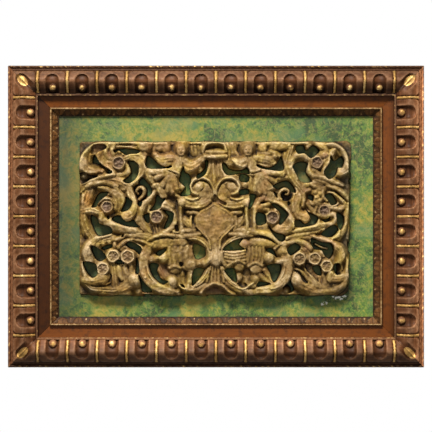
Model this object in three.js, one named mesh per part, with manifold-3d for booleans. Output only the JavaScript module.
// A carved openwork frieze on a painted panel, in a carved and parcel-gilt frame made to hang on a wall.
// Millimetres, +Z up, front towards -Y. The origin is the centre of the back, on the wall plane.
import * as THREE from 'three';
import { mergeVertices } from 'three/addons/utils/BufferGeometryUtils.js';
import Module from 'manifold-3d';

const wasm = await Module();
wasm.setup();

// Driving dimensions
const FRAME_WIDTH = 830;
const FRAME_HEIGHT = 602;
const RAIL_WIDTH = 82;
const SLIP_WIDTH = 18;
const PANEL_THICKNESS = 14;
const JOINT_GAP = 0.3;
const CUP_PITCH = 59;
const CUPS_ACROSS = 12;
const CUPS_UP = 8;
const RELIEF_DROP = 4.5;

// Carved cups of the frame, measured from the outer edge inwards
const CUP_MIDDLE = 31;
const CUP_RADII = { along: 13, across: 18, deep: 9 };
const CUP_LEVEL = 53;
const BEAD_RADIUS = 8.5;
const BEAD_FROM_EDGE = 45;
const BEAD_LEVEL = 43;
const CORNER_LEAF = { fromEdge: 33, long: 22, wide: 10, deep: 9, level: 53 };

// The pierced board of the frieze and the carving that stands up from it
const BOARD_THICKNESS = 23;
const GROUND_THICKNESS = 7;
const CARVING_ROOT = 21;
const GAP_SIDES = 7;
const STEM_STEP = 20;
const ROUND_SIDES = 6;
const FLOWER_SIDES = 8;

const WOOD = new THREE.MeshStandardMaterial({ color: 0x4a2a18, roughness: 0.5 });
const GILT = new THREE.MeshStandardMaterial({ color: 0x8a6a3a, roughness: 0.45, metalness: 0.4 });
const PAINT = new THREE.MeshStandardMaterial({ color: 0x5f7a3c, roughness: 0.75 });
const OLD_GILDING = new THREE.MeshStandardMaterial({ color: 0x8f7344, roughness: 0.55, metalness: 0.1 });

// Solids and booleans

function toSolid(geometry) {
  const bare = geometry.index ? geometry.toNonIndexed() : geometry;
  bare.deleteAttribute('normal');
  bare.deleteAttribute('uv');
  const merged = mergeVertices(bare, 1e-4);
  return new wasm.Manifold(new wasm.Mesh({
    numProp: 3,
    vertProperties: new Float32Array(merged.attributes.position.array),
    triVerts: new Uint32Array(merged.index.array),
  }));
}

function toGeometry(solid) {
  const mesh = solid.getMesh();
  const geometry = new THREE.BufferGeometry();
  geometry.setAttribute('position', new THREE.BufferAttribute(new Float32Array(mesh.vertProperties), 3));
  geometry.setIndex(new THREE.BufferAttribute(new Uint32Array(mesh.triVerts), 1));
  geometry.computeVertexNormals();
  return geometry;
}

// The frame

// A section of points [distance in from the outer edge, height off the wall], for the rail along the top.
// Both ends are mitred at 45 degrees by drawing each corner of the section in by its own distance.
function mitredBar(section, length, halfSpan) {
  const shape = new THREE.Shape(section.map(([inward, height]) => new THREE.Vector2(inward, height)));
  const geometry = new THREE.ExtrudeGeometry(shape, { depth: length, bevelEnabled: false, steps: 1 });
  const place = geometry.attributes.position;
  for (let i = 0; i < place.count; i += 1) {
    const inward = place.getX(i);
    const height = place.getY(i);
    const draw = inward + JOINT_GAP;
    const along = place.getZ(i) > length / 2 ? length - draw : draw;
    place.setXYZ(i, length / 2 - along, -height, halfSpan - inward);
  }
  return geometry;
}

const RAIL_SECTION = [
  [0, 0], [RAIL_WIDTH, 0], [RAIL_WIDTH, 24], [60, 27], [60, 38], [56, 38],
  [44, 50], [22, 50], [11, 37], [5, 34], [0, 26],
];

function ellipsoid(radiusX, radiusY, radiusZ) {
  return new THREE.SphereGeometry(1, ROUND_SIDES, 3).scale(radiusX, radiusY, radiusZ);
}

// Each cup is a scooped hollow with a bead at its inner end; a leaf is scooped across each corner.
function carvedRail(length, halfSpan, cups) {
  let rail = toSolid(mitredBar(RAIL_SECTION, length, halfSpan));
  for (const end of [-1, 1]) {
    const { fromEdge, long, wide, deep, level } = CORNER_LEAF;
    const leaf = ellipsoid(long, deep, wide).rotateY((-end * Math.PI) / 4)
      .translate(end * (length / 2 - fromEdge), -level, halfSpan - fromEdge);
    rail = rail.subtract(toSolid(leaf));
  }
  for (let i = 0; i < cups; i += 1) {
    const along = (i + 0.5 - cups / 2) * CUP_PITCH;
    const hollow = ellipsoid(CUP_RADII.along, CUP_RADII.deep, CUP_RADII.across)
      .translate(along, -CUP_LEVEL, halfSpan - CUP_MIDDLE);
    const bead = new THREE.IcosahedronGeometry(BEAD_RADIUS, 0)
      .translate(along, -BEAD_LEVEL, halfSpan - BEAD_FROM_EDGE);
    rail = rail.subtract(toSolid(hollow)).add(toSolid(bead));
  }
  return toGeometry(rail);
}

// The slip inside the frame has a gilt bead and a leaf-tip edge that slopes down to the panel.
const SLIP_OUT = RAIL_WIDTH + JOINT_GAP;
const SLIP_IN = RAIL_WIDTH + SLIP_WIDTH;
const SLIP_BACK = PANEL_THICKNESS + JOINT_GAP;
const SLIP_SECTION = [
  [SLIP_OUT, SLIP_BACK], [SLIP_IN, SLIP_BACK], [SLIP_IN, 17], [98, 18.5], [89, 26], [88, 27],
  [87.5, 30], [85, 31.5], [83, 30], [SLIP_OUT, 28],
];


// The carved frieze, in its own plane: X right, Z up from its centre, height up from its back

const RELIEF_BACK = PANEL_THICKNESS + JOINT_GAP;
const RELIEF = { left: -271, right: 270, top: 153, bottom: -152 };

// Pieces drawn flat as X and Z are stood off the wall between two heights.
function standOff(shape, from, to) {
  const geometry = new THREE.ExtrudeGeometry(shape, {
    depth: to - from, bevelEnabled: false, steps: 1, curveSegments: 4,
  });
  return toSolid(geometry.rotateX(Math.PI / 2).translate(0, -RELIEF_BACK - from, 0));
}

// The board has rounded corners where the four corner scrolls turn.
function boardOutline(round) {
  const { left, right, top, bottom } = RELIEF;
  const outline = new THREE.Shape();
  outline.moveTo(left, bottom + round);
  outline.quadraticCurveTo(left, bottom, left + round, bottom);
  outline.lineTo(right - round, bottom);
  outline.quadraticCurveTo(right, bottom, right, bottom + round);
  outline.lineTo(right, top - round);
  outline.quadraticCurveTo(right, top, right - round, top);
  outline.lineTo(left + round, top);
  outline.quadraticCurveTo(left, top, left, top - round);
  return outline;
}

// A pierced gap: an oval along a tilted axis, its middle drawn sideways by the bend.
function gapOutline([x, z, long, wide, tilt, bend]) {
  const turn = THREE.MathUtils.degToRad(tilt);
  const points = [];
  for (let i = 0; i < GAP_SIDES; i += 1) {
    const angle = (2 * Math.PI * (i + 0.5)) / GAP_SIDES;
    const along = long * Math.cos(angle);
    const across = wide * Math.sin(angle) + bend * (1 - Math.cos(angle) ** 2);
    points.push(new THREE.Vector2(
      x + along * Math.cos(turn) - across * Math.sin(turn),
      z + along * Math.sin(turn) + across * Math.cos(turn),
    ));
  }
  return new THREE.Shape(points);
}

// Gaps: centre X and Z, half length, half width, tilt in degrees, bend
const GAPS_LEFT = [
  [-228, 110, 25, 6.5, -47, -9], [-178, 136, 27, 5, -2, 3],
  [-171, 95, 23, 9, 77, -7], [-140, 66, 21, 7, -61, 0],
  [-133, 113, 11, 7, 90, 0], [-111, 105, 22, 4, 2, -1], [-85, 141, 8, 4, 90, 0], [-57, 138, 13, 5, 105, 0],
  [-65, 92, 16, 5, -70, 2], [-61, 66, 21, 9, -85, 0], [-27, 98, 20, 5, 61, -5],
  [-228, 49, 13, 5, 15, 0], [-242, 34, 14, 6, 65, 0], [-178, 29, 17, 7, 62, 0], [-231, -12, 26, 9, -43, -7],
  [-184, -9, 26, 5, -14, 0], [-140, 1, 9, 6, 80, 0], [-124, 24, 12, 7, 35, 0], [-112, 38, 11, 6, -20, 0],
  [-98, -1, 20, 6, 70, -8], [-237, -72, 15, 10, -50, 0],
  [-219, -57, 11, 4, 20, 0], [-251, -103, 17, 9, -65, 0],
  [-169, -59, 20, 6, -25, 7], [-159, -94, 17, 4, 92, 0],
  [-193, -88, 8, 5, 0, 0], [-146, -133, 24, 6, -58, -3],
  [-112, -67, 14, 5, 25, 3], [-120, -108, 20, 9, -60, -3],
  [-36, -114, 18, 8, 60, 0], [-36, -66, 17, 12, -65, 0],
];
const GAPS_RIGHT = [
  [46, 140, 10, 4, 90, 0], [81, 141, 11, 3, 85, 0], [18, 104, 12, 5, -50, 0], [40, 95, 20, 5, -4, 0],
  [58, 84, 14, 8, -80, 0], [56, 54, 10, 6, 0, 0], [74, 45, 7, 5, 0, 0], [128, 108, 14, 8, 85, 0],
  [104, 102, 18, 4, 2, -2], [136, 66, 24, 7, 3, 0], [121, 48, 8, 5, 60, 0], [170, 139, 11, 8, 0, 0],
  [196, 136, 12, 9, -10, 0], [172, 94, 22, 11, 100, 0], [230, 102, 23, 9, 105, 0], [249, 113, 11, 7, -60, 0],
  [121, 9, 21, 6, -63, 14], [91, 0, 13, 9, 95, 0], [120, -30, 20, 6, -40, 0], [190, 42, 7, 5, 70, 0],
  [195, 2, 13, 6, -75, 0], [170, -12, 16, 4, -8, 0], [231, 40, 14, 8, -35, 0], [222, -4, 9, 3, 8, -2],
  [250, -5, 17, 6, -85, 0], [231, -27, 18, 8, 38, 0], [217, -60, 26, 9, -42, 4], [34, -55, 21, 9, 32, 0],
  [113, -68, 13, 6, -55, 3], [119, -108, 19, 10, -85, 0], [30, -113, 17, 8, -55, 0], [96, -132, 13, 4, 0, 2],
  [158, -60, 16, 8, 8, 0], [205, -105, 12, 7, -60, 0], [245, -102, 11, 7, -75, 0], [148, -130, 22, 5, 58, -2],
];

const raised = [];

function valueAt(values, t) {
  const place = t * (values.length - 1);
  const from = Math.min(Math.floor(place), values.length - 2);
  return THREE.MathUtils.lerp(values[from], values[from + 1], place - from);
}

// A stem, leaf or fold: a ridge along a smooth curve through a few points,
// with half widths and crest heights spread evenly from its start to its end.
function stem(points, halfWidths, heights) {
  const curve = new THREE.CatmullRomCurve3(
    points.map(([x, z]) => new THREE.Vector3(x, 0, z)), false, 'catmullrom', 0.5,
  );
  const steps = Math.max(2, Math.round(curve.getLength() / STEM_STEP));
  const corners = [];
  for (let i = 0; i <= steps; i += 1) {
    const point = curve.getPoint(i / steps);
    const tangent = curve.getTangent(i / steps);
    const half = valueAt(halfWidths, i / steps);
    const crest = valueAt(heights, i / steps);
    for (const [across, height] of [[-half, CARVING_ROOT], [0, crest], [half, CARVING_ROOT]]) {
      corners.push([point.x - tangent.z * across, -RELIEF_BACK - height, point.z + tangent.x * across]);
    }
  }
  const faces = [];
  for (let i = 0; i < steps; i += 1) {
    for (let k = 0; k < 3; k += 1) {
      const a = 3 * i + k;
      const b = 3 * i + ((k + 1) % 3);
      faces.push([a, b + 3, b], [a, a + 3, b + 3]);
    }
  }
  faces.push([0, 1, 2], [3 * steps, 3 * steps + 2, 3 * steps + 1]);
  const geometry = new THREE.BufferGeometry();
  const places = faces.flat().flatMap((i) => corners[i]);
  geometry.setAttribute('position', new THREE.Float32BufferAttribute(places, 3));
  raised.push(toSolid(geometry));
}

// A round piece turned about the axis that stands off the wall, its profile closed on that axis.
function turned([x, z], profile, sides, stretch = [1, 1]) {
  const points = profile.map(([radius, height]) => new THREE.Vector2(radius, height));
  const geometry = new THREE.LatheGeometry(points, sides).rotateX(Math.PI)
    .scale(stretch[0], 1, stretch[1]).translate(x, -RELIEF_BACK, z);
  raised.push(toSolid(geometry));
}

function bud(centre, radii, height) {
  const profile = [[0, CARVING_ROOT], [1, CARVING_ROOT], [0.75, height * 0.9], [0, height]];
  turned(centre, profile, ROUND_SIDES, radii);
}

function flower(centre, radius, height) {
  turned(centre, [
    [0, CARVING_ROOT], [radius, CARVING_ROOT],
    [radius * 0.85, height], [radius * 0.5, height - 7], [0, height - 5],
  ], FLOWER_SIDES);
}

function upperScrolls() {
  stem([[-218, 149], [-244, 146], [-262, 128], [-264, 104], [-250, 94]], [5, 8, 9, 9, 6], [30, 34, 36, 36, 31]);
  stem([[-214, 148], [-226, 130], [-206, 98]], [8, 10, 7], [29, 31, 30]);
  flower([-195, 112], 14, 34);
  stem([[-206, 149], [-176, 149], [-146, 147]], [5, 5, 8], [28, 28, 30]);
  stem([[-180, 122], [-158, 124], [-143, 110], [-152, 86], [-178, 66]], [6, 7, 7, 7, 8], [31, 33, 31, 30, 29]);
  stem([[-270, 55], [-246, 72], [-216, 81], [-186, 76]], [3, 9, 10, 9], [28, 34, 35, 31]);
  stem([[-246, 64], [-256, 44], [-264, 22]], [5, 9, 7], [27, 29, 28]);
  stem([[226, 148], [248, 145], [263, 126], [263, 102], [250, 93]], [5, 7, 8, 8, 8], [31, 34, 36, 35, 33]);
  stem([[210, 148], [224, 132], [218, 108], [214, 92]], [8, 9, 6, 5], [29, 32, 31, 29]);
  flower([203, 112], 13, 34);
  stem([[183, 118], [164, 126], [147, 112], [150, 88], [172, 56]], [6, 7, 8, 8, 7], [31, 33, 32, 30, 29]);
  stem([[198, 85], [222, 78], [250, 66]], [10, 9, 5], [31, 34, 31]);
  stem([[226, 66], [250, 57], [266, 38]], [4, 6, 5], [30, 34, 31]);
}

function middleScrolls() {
  flower([-218, 24], 14, 32);
  stem([[-212, 54], [-192, 42], [-192, 14], [-204, -2]], [8, 8, 8, 6], [30, 32, 30, 28]);
  stem([[-268, 12], [-242, 16]], [6, 6], [27, 29]);
  stem([[-266, 4], [-258, -20], [-244, -38]], [5, 7, 7], [27, 28, 30]);
  stem([[-228, 2], [-206, -14], [-150, -28]], [6, 8, 4], [31, 35, 29]);
  stem([[-170, 56], [-163, 32], [-178, 7]], [7, 6, 10], [31, 32, 34]);
  stem([[-124, 54], [-146, 26], [-155, -4], [-134, -27]], [5, 7, 7, 7], [28, 33, 32, 29]);
  stem([[-112, 26], [-90, 22], [-81, -2], [-102, -30]], [6, 6, 5, 6], [32, 32, 30, 29]);
  flower([-119, 4], 14, 32);
  stem([[-186, -34], [-130, -38]], [5, 6], [29, 30]);
  flower([217, 16], 12, 32);
  stem([[216, 60], [203, 46], [206, 30]], [8, 10, 7], [30, 32, 30]);
  stem([[228, 22], [260, 26]], [5, 5], [29, 28]);
  stem([[222, 2], [238, 6], [238, -9]], [4, 4, 5], [31, 32, 32]);
  stem([[236, -10], [200, -17], [144, -28]], [6, 8, 5], [33, 35, 29]);
  stem([[214, -23], [140, -39]], [5, 5], [30, 30]);
  stem([[262, 22], [260, -8], [244, -38]], [5, 6, 6], [28, 28, 30]);
  stem([[166, 52], [160, 24], [178, 2]], [9, 9, 9], [31, 33, 34]);
  stem([[106, 36], [134, 25], [153, -6], [126, -22]], [6, 6, 8, 10], [31, 33, 34, 34]);
  stem([[84, 34], [79, 10], [77, -24]], [7, 6, 5], [31, 31, 30]);
  flower([112, 3], 14, 32);
}

function lowerScrolls() {
  stem([[-204, -38], [-240, -46], [-258, -72]], [7, 9, 9], [32, 35, 33]);
  stem([[-262, -123], [-226, -120]], [7, 9], [30, 34]);
  stem([[-250, -142], [-202, -145], [-164, -124]], [6, 7, 11], [28, 30, 36]);
  flower([-206, -75], 13, 33);
  flower([-177, -76], 14, 33);
  flower([-227, -100], 13, 33);
  stem([[-205, -98], [-204, -138]], [6, 6], [27, 27]);
  stem([[-187, -98], [-190, -134]], [7, 7], [28, 28]);
  stem([[-194, -56], [-166, -43], [-140, -60]], [5, 5, 8], [31, 33, 33]);
  stem([[-145, -74], [-142, -110], [-112, -141], [-60, -142]], [9, 9, 8, 6], [33, 36, 35, 31]);
  stem([[-48, -138], [-25, -120], [-12, -98]], [5, 5, 6], [31, 31, 34]);
  stem([[-130, -50], [-100, -44], [-74, -46]], [7, 12, 9], [31, 33, 30]);
  stem([[-56, -38], [-26, -46], [-14, -68]], [5, 6, 5], [30, 31, 34]);
  bud([-105, -78], [10, 10], 35);
  stem([[-80, -62], [-82, -104]], [8, 11], [29, 31]);
  stem([[-62, -62], [-54, -98]], [7, 11], [29, 35]);
  stem([[-53, -108], [-56, -134]], [6, 5], [28, 27]);
  bud([-87, -126], [10, 11], 35);
  stem([[204, -41], [236, -52], [252, -80]], [6, 9, 8], [32, 36, 33]);
  stem([[258, -82], [262, -104]], [4, 5], [28, 28]);
  stem([[262, -114], [232, -119]], [6, 9], [31, 34]);
  stem([[252, -136], [208, -147], [164, -124]], [7, 7, 11], [29, 30, 36]);
  flower([167, -79], 13, 33);
  flower([198, -80], 12, 32);
  flower([223, -96], 12, 33);
  stem([[178, -102], [200, -136]], [5, 6], [27, 27]);
  stem([[138, -58], [164, -46], [188, -66]], [7, 6, 6], [32, 33, 30]);
  stem([[142, -72], [142, -108], [110, -141], [56, -139]], [9, 9, 8, 6], [33, 36, 34, 31]);
  stem([[48, -139], [24, -122], [10, -98]], [5, 5, 6], [31, 31, 34]);
  stem([[130, -50], [98, -44], [70, -44]], [7, 12, 9], [31, 33, 30]);
  stem([[54, -37], [24, -45], [12, -68]], [5, 6, 5], [30, 31, 34]);
  bud([103, -78], [10, 10], 35);
  stem([[80, -60], [80, -104]], [9, 12], [29, 32]);
  stem([[16, -76], [56, -79]], [8, 8], [31, 29]);
  bud([46, -92], [11, 10], 30);
  stem([[86, -108], [110, -126]], [7, 4], [29, 26]);
  bud([78, -124], [9, 11], 34);
}

// A figure in a skirt with arms held out: head, line of the body, both arms, and the ends of its skirt folds
function figure({ head, body, arms, waist, folds }) {
  bud(head, [10, 14], 40);
  stem(body, [9, 12, 12], [37, 39, 38]);
  for (const arm of arms) stem(arm, [9, 10, 6], [36, 38, 33]);
  for (const fold of folds) stem([waist, fold], [6, 6], [37, 32]);
}

function figures() {
  figure({
    head: [-70, 138],
    body: [[-71, 124], [-75, 108], [-83, 92]],
    arms: [[[-80, 117], [-100, 117], [-120, 126]], [[-66, 111], [-48, 104], [-24, 120]]],
    waist: [-86, 92],
    folds: [[-134, 92], [-118, 72], [-106, 54], [-90, 52], [-78, 60]],
  });
  stem([[-134, 90], [-122, 62], [-104, 46]], [7, 8, 6], [30, 31, 29]);
  figure({
    head: [64, 140],
    body: [[65, 126], [70, 110], [76, 92]],
    arms: [[[60, 112], [44, 110], [22, 121]], [[78, 115], [98, 115], [118, 122]]],
    waist: [80, 90],
    folds: [[134, 88], [116, 70], [106, 54], [92, 46], [76, 54]],
  });
}

function middlePiece() {
  stem([[-23, 125], [0, 124], [21, 125]], [6, 6, 6], [42, 44, 42]);
  stem([[-19, 132], [-9, 151], [9, 151], [17, 132]], [4, 4, 4, 4], [41, 40, 40, 41]);
  stem([[0, 114], [-1, 84], [-2, 46]], [11, 14, 5], [31, 33, 31]);
  for (const side of [-1, 1]) {
    const middle = 27 * side - 1;
    stem([
      [middle - 17 * side, 38], [middle - 20 * side, 62], [middle, 78],
      [middle + 21 * side, 62], [middle + 4 * side, 49],
    ], [5, 6, 6, 6, 5], [36, 38, 39, 38, 36]);
    bud([middle, 62], [11, 10], 33);
    bud([65 * side - 3, 32], [9, 9], 36);
    stem([[58 * side - 3, 31], [22 * side - 3, 34]], [8, 8], [34, 35]);
    stem([[66 * side - 4, 22], [63 * side - 3, -26]], [5, 6], [31, 31]);
    stem([[74 * side - 1, -32], [32 * side - 3, -31]], [8, 7], [31, 31]);
    stem([[31 * side - 3, -24], [16 * side - 2, -43], [5 * side - 1, -62]], [6, 6, 7], [33, 34, 38]);
  }
  bud([-3, -6], [37, 38], 31);
  bud([0, -78], [15, 18], 42);
  stem([[0, -94], [-1, -126]], [10, 15], [35, 30]);
  stem([[-26, -146], [-2, -130], [28, -147]], [5, 5, 5], [30, 32, 30]);
}

upperScrolls();
middleScrolls();
lowerScrolls();
figures();
middlePiece();

let frieze = standOff(boardOutline(46), 0, BOARD_THICKNESS);
for (const gap of [...GAPS_LEFT, ...GAPS_RIGHT]) {
  frieze = frieze.subtract(standOff(gapOutline(gap), -1, BOARD_THICKNESS + 1));
}
const square = standOff(boardOutline(2), 0, GROUND_THICKNESS);
const rounded = standOff(boardOutline(50), -1, BOARD_THICKNESS);
frieze = frieze.add(square.subtract(rounded));
for (const piece of raised) frieze = frieze.add(piece);

// The whole part

const part = new THREE.Group();

function addMesh(name, geometry, material) {
  const mesh = new THREE.Mesh(geometry, material);
  mesh.name = name;
  part.add(mesh);
  return mesh;
}

const SIDES = [
  { name: 'top', turn: 0, length: FRAME_WIDTH, halfSpan: FRAME_HEIGHT / 2, cups: CUPS_ACROSS },
  { name: 'right', turn: 1, length: FRAME_HEIGHT, halfSpan: FRAME_WIDTH / 2, cups: CUPS_UP },
  { name: 'bottom', turn: 2, length: FRAME_WIDTH, halfSpan: FRAME_HEIGHT / 2, cups: CUPS_ACROSS },
  { name: 'left', turn: 3, length: FRAME_HEIGHT, halfSpan: FRAME_WIDTH / 2, cups: CUPS_UP },
];
for (const { name, turn, length, halfSpan, cups } of SIDES) {
  const rail = addMesh(`frame_rail_${name}`, carvedRail(length, halfSpan, cups), WOOD);
  const slip = addMesh(`slip_rail_${name}`, mitredBar(SLIP_SECTION, length, halfSpan), GILT);
  rail.rotation.y = (turn * Math.PI) / 2;
  slip.rotation.y = (turn * Math.PI) / 2;
}

const panelInset = 2 * (RAIL_WIDTH + JOINT_GAP);
const board = new THREE.BoxGeometry(FRAME_WIDTH - panelInset, PANEL_THICKNESS, FRAME_HEIGHT - panelInset);
addMesh('backing_panel', board, PAINT).position.set(0, -PANEL_THICKNESS / 2, 0);
addMesh('carved_relief', toGeometry(frieze), OLD_GILDING).position.set(0, 0, -RELIEF_DROP);

export default part;
